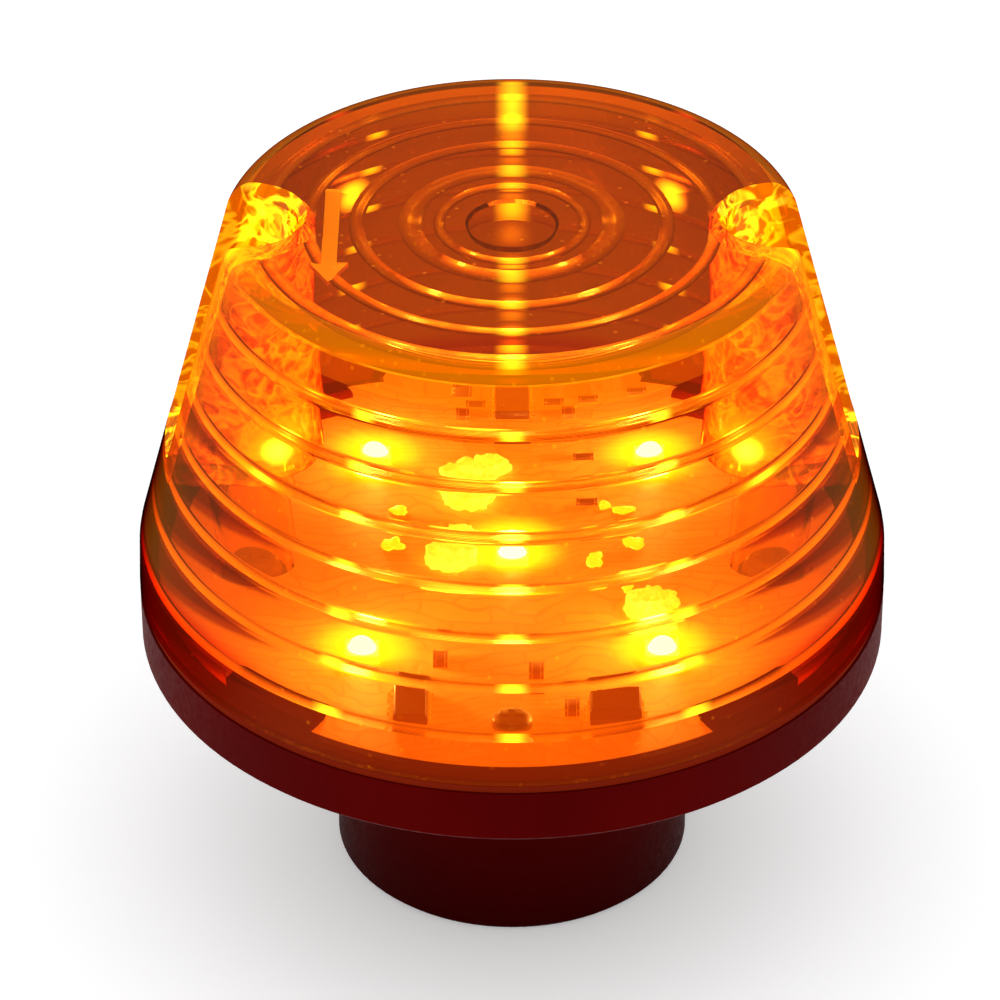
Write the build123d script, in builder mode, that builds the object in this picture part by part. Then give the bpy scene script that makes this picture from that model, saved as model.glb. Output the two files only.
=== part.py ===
from build123d import *

import os
from math import cos, radians, sin

# Warning lamp: an amber lens over a lit circuit board, on a round base with a mounting neck.
# Millimetres. Z runs up the lamp's axis, and z = 0 is the underside of the base flange.

# Base
base_radius = 40.0
flange_height = 6.2
floor_thickness = 2.6
flange_chamfer = 0.6
neck_radius = 19.3
neck_length = 28.2
neck_wall = 2.8
neck_chamfer = 0.6
neck_end_thickness = 3.2
collar_inset = 1.8
collar_wall = 0.8
collar_above_board = 0.1

# Seals
lens_seal_thickness = 0.8
lens_seal_inset = 0.3
lens_seal_collar_gap = 0.2

# Circuit board and what holds it
board_seat_height = 6.4
board_thickness = 1.6
board_collar_gap = 0.2
board_ledge_width = 2.0
hook_angles = (48.0, 132.0, 228.0, 312.0)
hook_span = 18.0
hook_thickness = 1.6
hook_lip = 1.4
hook_lip_height = 1.2
hook_lip_chamfer = 0.4
hook_gap = 0.2
board_screw_inset = 7.2

# Lens
lens_height = 43.6
skirt_height = 5.2
skirt_draft = 0.2
lens_top_radius = 29.6
lens_top_chamfer = 1.6
lens_top_thickness = 2.4
lens_wall = 1.7
lens_collar_gap = 0.25
skirt_bore_above_collar = 1.3
rib_pitch = 5.15
first_rib_height = 6.2
rib_depth = 0.5
rib_width = 1.0
top_boss_radius = 4.5
top_boss_height = 0.8

# Screw pockets and wells, moulded into the lens
screw_inset = 12.4
pocket_radius = 5.6
pocket_wall = 1.8
pocket_floor_above_foot = 17.0
pocket_floor_thickness = 2.2
well_radius = 3.5
well_wall = 0.7
well_floor_thickness = 1.6
well_board_gap = 0.3

# Screws and their threaded inserts
screw_radius = 1.5
screw_length = 5.0
screw_head_radius = 3.0
screw_head_height = 1.9
screw_hole_gap = 0.15
thread_gap = 0.06
insert_radius = 2.2
insert_length = 3.8
insert_gap = 0.03
boss_height = 2.4
boss_wall = 2.2
board_screw_shank = 1.0
board_screw_length = 4.8
board_screw_head_radius = 2.1
board_screw_head_height = 1.3
board_boss_wall = 1.5
pilot_gap = 0.05
pilot_spare = 0.2

# Light-emitting diodes
led_ring_radius = 23.5
led_angles = (48.8, 131.2, 228.8, 311.2)
led_width = 3.5
led_height = 1.0
led_mark = 0.5
led_dome_radius = 1.5
led_dome_height = 1.5

# Components on the board
controller_across = -10.3
controller_inset = 10.2
controller_size = (3.6, 6.9, 1.5)
controller_leads = 5
lead_pitch = 1.27
lead_width = 0.5
lead_reach = 0.6
lead_thickness = 0.3
diode_across = 10.5
diode_inset = 9.0
diode_size = (5.3, 4.7, 2.3)
transistor_inset = 11.4
regulator_inset = 7.6
small_chip_size = (4.0, 2.8, 1.5)
package_bevel = 0.25
tab_width = 1.2
resistor_size = (2.4, 1.25, 0.55)
capacitor_size = (1.6, 2.4, 0.9)
inner_capacitors = ((-7.4, -18.8), (2.5, -21.1))
# Places along the board's edge: across from the middle, and in from the edge
back_resistors = ((-5.8, 6.0), (-4.2, 8.8), (4.8, 8.2), (8.8, 7.7), (14.5, 6.2), (8.0, 19.0), (8.2, 27.0))
back_capacitors = ((-5.7, 12.0), (6.5, 11.6))
front_capacitors = ((6.1, 9.8),)

# Dabs of sealant over the soldered supply wires: places, and their widths, depths and heights
sealant_places = ((-4.1, 13.1), (-6.5, -0.3), (14.6, -10.4))
sealant_sizes = ((7.5, 8.7, 3.6), (5.3, 7.0, 3.0), (5.6, 7.4, 3.0))

# Cable grommet in the neck's closed end
grommet_hole_radius = 5.0
grommet_flange_radius = 6.6
grommet_flange_thickness = 1.6
grommet_bore_radius = 3.0
grommet_gap = 0.05

# Heights and radii that follow
board_top = board_seat_height + board_thickness
board_bottom = board_seat_height
collar_radius = base_radius - collar_inset
collar_inner = collar_radius - collar_wall
collar_top = board_top + collar_above_board
board_radius = collar_inner - board_collar_gap
neck_bore = neck_radius - neck_wall
neck_end_top = neck_end_thickness - neck_length
boss_top = floor_thickness + boss_height
lens_foot = flange_height + lens_seal_thickness
lens_top = lens_foot + lens_height
lens_bore = collar_radius + lens_collar_gap
skirt_top = lens_foot + skirt_height
skirt_top_radius = base_radius - skirt_draft
top_underside = lens_top - lens_top_thickness
pocket_floor = lens_foot + pocket_floor_above_foot
well_outer = well_radius + well_wall
well_floor = boss_top + well_floor_thickness
hook_outer = collar_inner
hook_inner = hook_outer - hook_thickness
screw_offset = base_radius - screw_inset
screw_places = {"left": (-screw_offset, 0.0), "right": (screw_offset, 0.0)}
board_screw_at = (0.0, board_screw_inset - board_radius)
controller_at = (controller_across, controller_inset - board_radius)
diode_at = (diode_across, diode_inset - board_radius)
transistor_at = (0.0, board_radius - transistor_inset)
regulator_at = (0.0, board_radius - regulator_inset)
tool_over = 1.0

os.makedirs("parts", exist_ok=True)


def save(part, name):
    """Labels a finished piece and writes its STEP file."""
    part.label = name
    export_step(part, f"parts/{name}.step")


def cone_radius(height):
    """Outer radius of the lens's cone at a height."""
    share = (height - skirt_top) / (lens_top - skirt_top)
    return skirt_top_radius + (lens_top_radius - skirt_top_radius) * share


def arc_pad(inner, outer, centre_angle, span):
    """Outline of a curved bar that follows the rim."""
    start = centre_angle - span / 2
    with BuildSketch(mode=Mode.PRIVATE) as pad:
        with BuildLine():
            near = CenterArc((0, 0), inner, start, span)
            far = CenterArc((0, 0), outer, start, span)
            Line(near @ 0, far @ 0)
            Line(near @ 1, far @ 1)
        make_face()
    return pad.sketch


def pocket_outline(place, radius):
    """U-shaped outline round one screw, open towards the outside of the lens."""
    side = 1 if place[0] > 0 else -1
    reach = base_radius
    with BuildSketch(mode=Mode.PRIVATE) as outline:
        with Locations(place):
            Circle(radius)
        with Locations((place[0] + side * reach / 2, 0)):
            Rectangle(reach, 2 * radius)
    return outline.sketch


def ring(inner, outer, low, high):
    """Flat ring about the lamp's axis."""
    with BuildPart() as flat_ring:
        with BuildSketch(Plane.XY.offset(low)):
            Circle(outer)
            Circle(inner, mode=Mode.SUBTRACT)
        extrude(amount=high - low)
    return flat_ring.part


# Base housing: flange, neck, collar, board ledge, bosses and snap hooks in one moulding
with BuildPart() as base_housing:
    with BuildSketch(Plane.XZ) as base_section:
        with BuildLine():
            Polyline(
                (0, -neck_length),
                (neck_radius, -neck_length),
                (neck_radius, 0),
                (base_radius, 0),
                (base_radius, flange_height),
                (collar_radius, flange_height),
                (collar_radius, collar_top),
                (collar_inner, collar_top),
                (collar_inner, board_bottom),
                (collar_inner - board_ledge_width, board_bottom),
                (collar_inner - board_ledge_width, floor_thickness),
                (neck_bore, floor_thickness),
                (neck_bore, neck_end_top),
                (0, neck_end_top),
                close=True,
            )
        make_face()
        flange_corner = base_section.vertices().sort_by_distance((base_radius, 0))[0]
        chamfer(flange_corner, flange_chamfer)
        neck_corner = base_section.vertices().sort_by_distance((neck_radius, -neck_length))[0]
        chamfer(neck_corner, neck_chamfer)
    revolve(axis=Axis.Z)
    # Bosses for the lens screws and for the board screw
    with BuildSketch(Plane.XY.offset(floor_thickness)):
        with Locations(*screw_places.values()):
            Circle(insert_radius + boss_wall)
    extrude(amount=boss_height)
    with BuildSketch(Plane.XY.offset(floor_thickness)):
        with Locations(board_screw_at):
            Circle(board_screw_shank + board_boss_wall)
    extrude(amount=board_bottom - floor_thickness)
    with BuildSketch(Plane.XY.offset(boss_top)):
        with Locations(*screw_places.values()):
            Circle(insert_radius + insert_gap)
    extrude(amount=-insert_length, mode=Mode.SUBTRACT)
    with BuildSketch(Plane.XY.offset(board_bottom)):
        with Locations(board_screw_at):
            Circle(board_screw_shank + pilot_gap)
    extrude(amount=-(board_screw_length - board_thickness + pilot_spare), mode=Mode.SUBTRACT)
    # Snap hooks that hold the board down
    for angle in hook_angles:
        with BuildSketch(Plane.XY.offset(board_bottom)):
            add(arc_pad(hook_inner, hook_outer + collar_wall / 2, angle, hook_span))
        extrude(amount=collar_top - board_bottom)
        with BuildSketch(Plane.XY.offset(board_bottom)):
            add(arc_pad(hook_inner, hook_outer, angle, hook_span))
        extrude(amount=board_thickness + hook_lip_height)
        with BuildSketch(Plane.XY.offset(board_top)):
            add(arc_pad(hook_inner - hook_lip, hook_inner, angle, hook_span))
        extrude(amount=hook_lip_height)
        lip_edge = base_housing.edges().filter_by(GeomType.CIRCLE).sort_by_distance(
            Vector(hook_inner - hook_lip, 0, board_top + hook_lip_height).rotate(Axis.Z, angle)
        )[0]
        chamfer(lip_edge, hook_lip_chamfer)
    # Hole for the cable grommet
    with BuildSketch(Plane.XY.offset(-neck_length)):
        Circle(grommet_hole_radius)
    extrude(amount=neck_end_thickness, mode=Mode.SUBTRACT)
save(base_housing.part, "base_housing")

lens_seal = ring(
    collar_radius + lens_seal_collar_gap, base_radius - lens_seal_inset, flange_height, lens_foot
)
save(lens_seal, "lens_seal")

# Hollow of the lens: ribbed cone and a central boss, less the pocket walls and the wells
with BuildPart() as lens_hollow:
    with BuildSketch(Plane.XZ):
        rib_room = top_underside - lens_foot - first_rib_height - rib_width
        rib_count = int(rib_room / rib_pitch) + 1
        rib_heights = [lens_foot + first_rib_height + k * rib_pitch for k in range(rib_count)]
        inside = [(0, lens_foot - tool_over), (lens_bore, lens_foot - tool_over)]
        inside.append((lens_bore, collar_top + skirt_bore_above_collar))
        for height in rib_heights:
            inside.append((cone_radius(height) - lens_wall - rib_depth, height))
            inside.append((cone_radius(height + rib_width) - lens_wall, height + rib_width))
        inside.append((cone_radius(top_underside) - lens_wall, top_underside))
        inside.append((top_boss_radius, top_underside))
        inside.append((top_boss_radius, top_underside - top_boss_height))
        inside.append((0, top_underside - top_boss_height))
        with BuildLine():
            Polyline(*inside, close=True)
        make_face()
    revolve(axis=Axis.Z)
    for place in screw_places.values():
        with BuildSketch(Plane.XY.offset(pocket_floor - pocket_floor_thickness)):
            add(pocket_outline(place, pocket_radius + pocket_wall))
        extrude(amount=lens_height, mode=Mode.SUBTRACT)
    with BuildSketch(Plane.XY.offset(lens_foot - 2 * tool_over)):
        with Locations(*screw_places.values()):
            Circle(well_outer)
    extrude(amount=lens_height, mode=Mode.SUBTRACT)

# Lens: one clear moulding with two open screw pockets and a well below each
with BuildPart() as lens:
    with BuildSketch(Plane.XZ) as lens_section:
        with BuildLine():
            Polyline(
                (0, lens_foot),
                (base_radius, lens_foot),
                (skirt_top_radius, skirt_top),
                (lens_top_radius, lens_top),
                (0, lens_top),
                close=True,
            )
        make_face()
        top_corner = lens_section.vertices().sort_by_distance((lens_top_radius, lens_top))[0]
        chamfer(top_corner, lens_top_chamfer)
    revolve(axis=Axis.Z)
    add(lens_hollow.part, mode=Mode.SUBTRACT)
    with BuildSketch(Plane.XY.offset(boss_top)):
        with Locations(*screw_places.values()):
            Circle(well_outer)
    extrude(amount=lens_foot - boss_top)
    for place in screw_places.values():
        with BuildSketch(Plane.XY.offset(pocket_floor)):
            add(pocket_outline(place, pocket_radius))
        extrude(amount=lens_height, mode=Mode.SUBTRACT)
    with BuildSketch(Plane.XY.offset(well_floor)):
        with Locations(*screw_places.values()):
            Circle(well_radius)
    extrude(amount=pocket_floor - well_floor, mode=Mode.SUBTRACT)
    with BuildSketch(Plane.XY.offset(boss_top)):
        with Locations(*screw_places.values()):
            Circle(screw_radius + screw_hole_gap)
    extrude(amount=well_floor_thickness, mode=Mode.SUBTRACT)
save(lens.part, "lens")

# Lens screws and the threaded inserts that they turn in
for side, place in screw_places.items():
    with BuildPart() as lens_screw:
        with BuildSketch(Plane.XY.offset(well_floor)):
            with Locations(place):
                Circle(screw_head_radius)
        extrude(amount=screw_head_height)
        with BuildSketch(Plane.XY.offset(well_floor)):
            with Locations(place):
                Circle(screw_radius)
        extrude(amount=-screw_length)
    save(lens_screw.part, f"lens_screw_{side}")

    with BuildPart() as screw_insert:
        with BuildSketch(Plane.XY.offset(boss_top)):
            with Locations(place):
                Circle(insert_radius)
                Circle(screw_radius + thread_gap, mode=Mode.SUBTRACT)
        extrude(amount=-insert_length)
    save(screw_insert.part, f"screw_insert_{side}")

# Circuit board with clearance round the wells and notches for the hooks
with BuildPart() as circuit_board:
    with BuildSketch(Plane.XY.offset(board_bottom)):
        Circle(board_radius)
        with Locations(*screw_places.values()):
            Circle(well_outer + well_board_gap, mode=Mode.SUBTRACT)
        with Locations(board_screw_at):
            Circle(board_screw_shank + screw_hole_gap, mode=Mode.SUBTRACT)
        for angle in hook_angles:
            notch = arc_pad(hook_inner - hook_gap, base_radius, angle, hook_span + hook_gap)
            add(notch, mode=Mode.SUBTRACT)
    extrude(amount=board_thickness)
save(circuit_board.part, "circuit_board")

with BuildPart() as board_screw:
    with BuildSketch(Plane.XY.offset(board_top)):
        with Locations(board_screw_at):
            Circle(board_screw_head_radius)
    extrude(amount=board_screw_head_height)
    with BuildSketch(Plane.XY.offset(board_top)):
        with Locations(board_screw_at):
            Circle(board_screw_shank)
    extrude(amount=-board_screw_length)
save(board_screw.part, "board_screw")

# Light-emitting diodes: one in the middle and four round it
led_places = [(0.0, 0.0)]
for angle in led_angles:
    turn = radians(angle)
    led_places.append((led_ring_radius * cos(turn), led_ring_radius * sin(turn)))
for number, place in enumerate(led_places, start=1):
    with BuildPart() as led_housing:
        with BuildSketch(Plane.XY.offset(board_top)):
            with Locations(place):
                Rectangle(led_width, led_width)
        extrude(amount=led_height)
        marked_corner = led_housing.edges().filter_by(Axis.Z).sort_by(Axis.Y)[0]
        chamfer(marked_corner, led_mark)
    save(led_housing.part, f"led_housing_{number}")

    with BuildPart() as led_dome:
        with BuildSketch(Plane.XY.offset(board_top + led_height)):
            with Locations(place):
                Circle(led_dome_radius)
        extrude(amount=led_dome_height)
    save(led_dome.part, f"led_dome_{number}")

# Flash controller: a moulded package with a row of leads down each side
with BuildPart() as flash_controller:
    with Locations((*controller_at, board_top + controller_size[2] / 2)):
        Box(*controller_size)
    chamfer(flash_controller.edges().group_by(Axis.Z)[-1], package_bevel)
    with Locations((*controller_at, board_top + lead_thickness / 2)):
        with GridLocations(0, lead_pitch, 1, controller_leads):
            Box(controller_size[0] + 2 * lead_reach, lead_width, lead_thickness)
save(flash_controller.part, "flash_controller")

# Two-terminal and three-terminal power packages
power_packages = {
    "power_diode": (diode_at, diode_size),
    "driver_transistor": (transistor_at, small_chip_size),
    "voltage_regulator": (regulator_at, small_chip_size),
}
for name, (place, size) in power_packages.items():
    with BuildPart() as package:
        with Locations((*place, board_top + size[2] / 2)):
            Box(*size)
        chamfer(package.edges().group_by(Axis.Z)[-1], package_bevel)
        with Locations((*place, board_top + lead_thickness / 2)):
            Box(size[0] + 2 * lead_reach, tab_width, lead_thickness)
    save(package.part, name)

resistor_places = [(x, board_radius - inset) for x, inset in back_resistors]
capacitor_places = [*inner_capacitors, *[(x, board_radius - inset) for x, inset in back_capacitors]]
capacitor_places += [(x, inset - board_radius) for x, inset in front_capacitors]
with BuildPart() as chip_resistors:
    with Locations(*[(x, y, board_top + resistor_size[2] / 2) for x, y in resistor_places]):
        Box(*resistor_size)
save(chip_resistors.part, "chip_resistors")

with BuildPart() as chip_capacitors:
    with Locations(*[(x, y, board_top + capacitor_size[2] / 2) for x, y in capacitor_places]):
        Box(*capacitor_size)
save(chip_capacitors.part, "chip_capacitors")

for number, (place, dab) in enumerate(zip(sealant_places, sealant_sizes), start=1):
    width, depth, height = dab
    with BuildPart() as wire_sealant:
        with BuildSketch(Plane.XY.offset(board_top)):
            with Locations(place):
                Ellipse(width / 2, depth / 2)
        extrude(amount=height)
    save(wire_sealant.part, f"wire_sealant_{number}")

# Cable grommet, seated from inside in the neck's closed end
with BuildPart() as cable_grommet:
    with BuildSketch(Plane.XZ):
        with BuildLine():
            Polyline(
                (grommet_bore_radius, -neck_length),
                (grommet_hole_radius - grommet_gap, -neck_length),
                (grommet_hole_radius - grommet_gap, neck_end_top),
                (grommet_flange_radius, neck_end_top),
                (grommet_flange_radius, neck_end_top + grommet_flange_thickness),
                (grommet_bore_radius, neck_end_top + grommet_flange_thickness),
                close=True,
            )
        make_face()
    revolve(axis=Axis.Z)
save(cable_grommet.part, "cable_grommet")
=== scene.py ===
import math

import bmesh
import bpy
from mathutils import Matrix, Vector, noise


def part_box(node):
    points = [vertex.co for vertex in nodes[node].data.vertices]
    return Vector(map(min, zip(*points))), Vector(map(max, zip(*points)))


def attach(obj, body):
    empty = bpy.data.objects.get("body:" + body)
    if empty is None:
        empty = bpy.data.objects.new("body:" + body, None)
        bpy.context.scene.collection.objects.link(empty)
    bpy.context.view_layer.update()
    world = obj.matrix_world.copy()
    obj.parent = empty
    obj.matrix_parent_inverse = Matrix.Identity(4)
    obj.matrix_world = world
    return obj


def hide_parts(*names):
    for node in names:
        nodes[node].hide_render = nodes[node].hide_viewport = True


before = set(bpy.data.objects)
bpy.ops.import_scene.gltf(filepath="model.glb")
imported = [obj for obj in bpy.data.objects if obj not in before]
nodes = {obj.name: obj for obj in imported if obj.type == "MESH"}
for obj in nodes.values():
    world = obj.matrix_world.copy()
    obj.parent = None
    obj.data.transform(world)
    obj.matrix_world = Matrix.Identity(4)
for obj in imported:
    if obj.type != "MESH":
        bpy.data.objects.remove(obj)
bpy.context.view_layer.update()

# All sizes below are in millimetres; meshes are scaled to metres as they are made
MM = 0.001
SIDES = {"left": -1, "right": 1}
LED_NUMBERS = range(1, 6)
SEALANT_NUMBERS = range(1, 4)


def low_mm(name):
    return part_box(name)[0] / MM


def high_mm(name):
    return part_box(name)[1] / MM


def middle_mm(name):
    return (low_mm(name) + high_mm(name)) / 2


# Heights and places read from the frame
NECK_FOOT = low_mm("base_housing").z
BOARD_TOP = high_mm("circuit_board").z
LENS_FOOT = high_mm("lens_seal").z
LENS_TOP = high_mm("lens").z
WELL_BOTTOM = low_mm("lens").z
LENS_SCREW_HEAD = 1.9
WELL_FLOOR = high_mm("lens_screw_left").z - LENS_SCREW_HEAD
SCREW_OFFSET = middle_mm("lens_screw_right").x
FOOT_RADIUS = high_mm("base_housing").x

# Lens: outside, inside, ribs and rings
SKIRT_TOP = LENS_FOOT + 5.2
SKIRT_TOP_RADIUS = FOOT_RADIUS - 0.2
FOOT_CHAMFER = 0.25
TOP_RADIUS = 29.6
TOP_ROUND = 2.4
LENS_WALL = 1.7
LENS_BORE = 38.45
SKIRT_BORE_TOP = BOARD_TOP + 1.4
TOP_UNDERSIDE = LENS_TOP - 2.4
RIB_PITCH = 5.15
RIB_HEIGHTS = [SKIRT_TOP + RIB_PITCH * k for k in range(7)]
RIB_HALF_WIDTH = 0.48
RIB_DEPTH = 0.13
FLUTE_DEPTH = 0.05
REED_PITCH = 0.12
BEAD_STEPS = 10
RING_HALF_WIDTHS = {26.0: 0.8, 21.0: 0.7, 16.0: 0.8, 10.5: 1.2, 7.5: 0.6}
RING_DEPTH = 0.4
BOSS_RADIUS = 4.5
BOSS_DEPTH = 0.8
LATHE_SEGMENTS = 256
SHARP_ANGLE = 30.0

# Screw pockets and wells in the lens
POCKET_RADIUS = 5.6
POCKET_WALL = 1.8
POCKET_FLOOR = LENS_FOOT + 17.0
POCKET_FLOOR_THICKNESS = 2.2
POCKET_RIM_ROUND = 0.9
POCKET_FOOT_ROUND = 0.7
POCKET_STEPS = 48
WELL_RADIUS = 3.5
WELL_WALL = 0.7
SCREW_HOLE_RADIUS = 1.65

# Arrow under the lens's top: middle, half widths, and where its shaft and its head begin and end
ARROW_X = -18.6
ARROW_SHAFT = 0.8
ARROW_HEAD = 2.0
ARROW_BACK = 6.8
ARROW_NECK = -7.8
ARROW_FRONT = -11.5

# Small parts on the board
LEAD_REACH = 0.6
LEAD_THICKNESS = 0.18
LEAD_PITCH = 1.27
CONTROLLER_LEADS = 5
PACKAGE_BEVEL = 0.18
CAP_LENGTH = 0.38
DOME_RADIUS = 1.35
DOME_COLLAR = (1.5, 0.15)
THREAD_PITCH = 0.5
THREAD_ROOT = 0.84
SCREW_TIP = 0.3
HEAD_CURVE = ((0.97, 0.62), (0.87, 0.82), (0.7, 0.94), (0.45, 0.99), (0.2, 1.0))
SHANK_RADII = {"lens_screw_left": 1.5, "lens_screw_right": 1.5, "board_screw": 1.0}
SOLDER_DABS = (
    (-12.4, 7.9, 1.3, 1.3), (-13.0, 2.7, 1.4, 2.0), (10.15, 9.6, 0.9, 1.2), (12.3, 8.2, 1.4, 1.2),
    (13.0, 3.2, 1.4, 1.9), (8.9, -0.6, 1.2, 2.6), (12.1, -4.7, 0.7, 1.3),
)
DAB_RINGS = ((1.0, 0.0), (0.93, 0.14), (0.72, 0.3), (0.4, 0.4))
DAB_STEPS = 40

# Blobs that make up each lump of sealant: place, half width, half depth and height
SEALANT_BLOBS = {
    1: ((-4.8, 11.9, 3.1, 3.6, 3.3), (-2.7, 15.2, 2.3, 2.4, 2.3), (-2.6, 17.4, 1.0, 1.5, 1.0)),
    2: ((-6.6, -0.7, 2.7, 3.1, 2.8), (-5.8, 2.4, 1.9, 1.5, 1.5)),
    3: ((14.2, -10.2, 2.5, 3.3, 2.8), (16.2, -8.6, 1.6, 1.7, 1.5), (15.9, -11.9, 1.3, 1.5, 1.2)),
}

# Camera, matched to the photograph
CAMERA_PLACE = (0.0, -0.44224, 0.31432)
CAMERA_PITCH = 0.596
CAMERA_LENS = 180.0
CAMERA_SHIFT = (-0.012, 0.00614)

# Painted light and shade: glints where the lens catches the lights, glows, shaded wedges and halos.
# Turns from the lens's front are in degrees for the glints and in radians for the rest; each pair
# says where a mask is 0 and where it is 1
GLINT_TURNS = (0, 29, 151, 180)
GLINT_HALF_WIDTH = 3.2
SIDE_GLOW_TURN = 1.4
SIDE_GLOW_HALF_WIDTH = 0.85
COLUMN_HALF_WIDTH = 2.0
COLUMN_PITCH = 1.7
COLUMN_DEPTHS = (16.0, 20.0)
BACK_DEPTHS = (16.0, 30.0)
BACK_SPOTS = [(side * 17.3, 27.4, 35.4) for side in SIDES.values()]
BACK_SPOT_RADIUS = 2.7
POCKET_SPOTS = [(side * 24.3, -6.6, 26.0) for side in SIDES.values()]
POCKET_FOOT_SPOTS = [(side * 34.4, -6.5, 29.8) for side in SIDES.values()]
WEDGE_FRONT_TURNS = (0.6, 1.3)
WEDGE_BACK_TURNS = (2.3, 1.9)
WEDGE_HEIGHTS = (37.0, 27.0)
WEDGE_SHARE = 0.8
WEDGE_FADE = 0.15
SKIRT_TURNS = (0.5, 1.0)
SKIRT_HEIGHTS = (15.0, 12.0)
BACK_RIM_DEPTHS = (3.2, 1.2)
BACK_RIM_PLACES = (4.2, 5.2)
BACK_RIM_SHARE = 0.7
FRONT_RIM_DEPTHS = (2.4, 1.1)
FRONT_RIM_PLACES = (-4.4, -5.2)
BASE_LIT_HEIGHTS = (6.3, 7.0)
HALO_RADIUS = 6.8
HALO_OFFSET = 1.7

# Linear colours; those of glows go past 1
AMBER_WALL = (0.9, 0.62, 0.2)
AMBER_COAT = (0.78, 0.6, 0.35)
AMBER_GLOSS = (1.0, 0.15, 0.02)
AMBER_FOLD = (0.85, 0.5, 0.15)
AMBER_FOLD_COAT = (0.93, 0.78, 0.5)
AMBER_THIN = (0.96, 0.8, 0.4)
AMBER_THIN_COAT = (0.98, 0.93, 0.8)
BASE_RED = (0.088, 0.0006, 0.0006)
# Painted shade darkening the base towards the neck's foot, and a painted glow of the lamp's light on its
# upper edge
BASE_PAINTED_SHADE = (0.028, 0.0002, 0.0002)
BASE_GLOW = (0.2, 0.018, 0.0)
# Painted shade on the lens's sides: dark wedges below the ribs and a redder coat tint on the skirt
WEDGE_PAINTED_SHADE = (0.18, 0.03, 0.01)
SKIRT_SHADE_TINT = (0.7, 0.22, 0.08)
# Painted glow round each light's core, on the LED housings
GLOW = (1.0, 0.85, 0.1)
# Painted pools of light round the lights, and the lamp's painted glow in clouds over the board
HALO_GLOW = (5.0, 6.5, 0.3)
BOARD_GLOWS = ((1.4, 0.38, 0.04), (1.6, 0.5, 0.05))
LED_LIGHT = (1.0, 0.88, 0.85)
# Painted glints, glows and hot spots of the lamp's light on the lens
GLINT = (3.0, 4.5, 0.5)
BACK_GLINT = (8.0, 11.0, 1.0)
SIDE_GLOW = (3.0, 1.3, 0.03)
BACK_GLOW = (0.17, 0.06, 0.0)
COLUMN_GLOW = (2.0, 2.0, 0.1)
BACK_SPOT_GLOW = (24.0, 26.0, 12.0)
BACK_RIM_GLOW = (0.75, 0.13, 0.0)
FRONT_RIM_GLOW = (3.2, 3.2, 0.1)

# Painted glows and hot glints in the pockets: places, radius and colour, the later ones over the earlier
POCKET_GLOWS = (
    (POCKET_SPOTS, 6.5, (3.0, 3.2, 0.06)), (POCKET_FOOT_SPOTS, 4.0, (3.0, 3.2, 0.06)),
    (POCKET_SPOTS, 2.4, (24.0, 26.0, 14.0)),
)


# Helpers for node trees


def add_node(tree, kind, **values):
    """A node with its inputs set by name and its other settings by attribute."""
    node = tree.nodes.new(kind)
    for key, value in values.items():
        if hasattr(node, key):
            setattr(node, key, value)
        else:
            node.inputs[key.replace("_", " ")].default_value = value
    return node


def feed(tree, value, socket):
    """Links a socket to an input, or sets the input to a number or a colour."""
    if isinstance(value, bpy.types.NodeSocket):
        tree.links.new(value, socket)
    else:
        socket.default_value = (*value, 1.0) if isinstance(value, tuple) else value


def math_node(tree, operation, first, second=0.0):
    """A math node between two sockets or numbers; its result."""
    node = add_node(tree, "ShaderNodeMath", operation=operation)
    feed(tree, first, node.inputs[0])
    feed(tree, second, node.inputs[1])
    return node.outputs["Value"]


def product(tree, *values):
    """Several sockets or numbers multiplied; the first one is a socket."""
    result = values[0]
    for value in values[1:]:
        result = math_node(tree, "MULTIPLY", result, value)
    return result


def mix(tree, factor, first, second):
    """A mix of two colours, each a socket or a plain colour; its result."""
    node = add_node(tree, "ShaderNodeMix", data_type="RGBA")
    for label, value in (("Factor", factor), ("A", first), ("B", second)):
        feed(tree, value, node.inputs[label])
    return node.outputs["Result"]


def ramp(tree, value, zero_at, one_at, kind="SMOOTHSTEP"):
    """A mask that rises from 0 to 1 between two values."""
    node = add_node(tree, "ShaderNodeMapRange", interpolation_type=kind, From_Min=zero_at, From_Max=one_at)
    tree.links.new(value, node.inputs["Value"])
    return node.outputs["Result"]


def ramp_mm(tree, value, zero_at, one_at, kind="SMOOTHSTEP"):
    """A mask that rises from 0 to 1 between two lengths in millimetres."""
    return ramp(tree, value, zero_at * MM, one_at * MM, kind)


def band(tree, value, middle, half_width):
    """A mask that is 1 at a middle value and fades to both sides of it."""
    away = math_node(tree, "ABSOLUTE", math_node(tree, "SUBTRACT", value, middle))
    return ramp(tree, away, half_width, 0.0)


def spots(tree, places, radius):
    """A mask that fades out round places given in millimetres."""
    mask = 0.0
    place = add_node(tree, "ShaderNodeTexCoord").outputs["Object"]
    for x, y, z in places:
        away = add_node(tree, "ShaderNodeVectorMath", operation="DISTANCE")
        away.inputs[1].default_value = (x * MM, y * MM, z * MM)
        tree.links.new(place, away.inputs[0])
        mask = math_node(tree, "MAXIMUM", ramp_mm(tree, away.outputs["Value"], radius, 0.0), mask)
    return mask


def place_parts(tree):
    """X, depth and height of a point."""
    parts = add_node(tree, "ShaderNodeSeparateXYZ")
    tree.links.new(add_node(tree, "ShaderNodeTexCoord").outputs["Object"], parts.inputs["Vector"])
    return [parts.outputs[axis] for axis in "XYZ"]


def turn_from_front(tree, x, y):
    """How far round from the lens's front a point lies, to either side, in radians."""
    return math_node(tree, "ARCTAN2", math_node(tree, "ABSOLUTE", x), product(tree, y, -1.0))


def new_group(name, inputs, outputs):
    """An empty node group with named number and colour sockets."""
    group = bpy.data.node_groups.new(name, "ShaderNodeTree")
    for label, value in inputs.items():
        kind = "NodeSocketColor" if isinstance(value, tuple) else "NodeSocketFloat"
        feed(group, value, group.interface.new_socket(label, in_out="INPUT", socket_type=kind))
    for label, kind in outputs.items():
        group.interface.new_socket(label, in_out="OUTPUT", socket_type=kind)
    return group, add_node(group, "NodeGroupInput"), add_node(group, "NodeGroupOutput")


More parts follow.
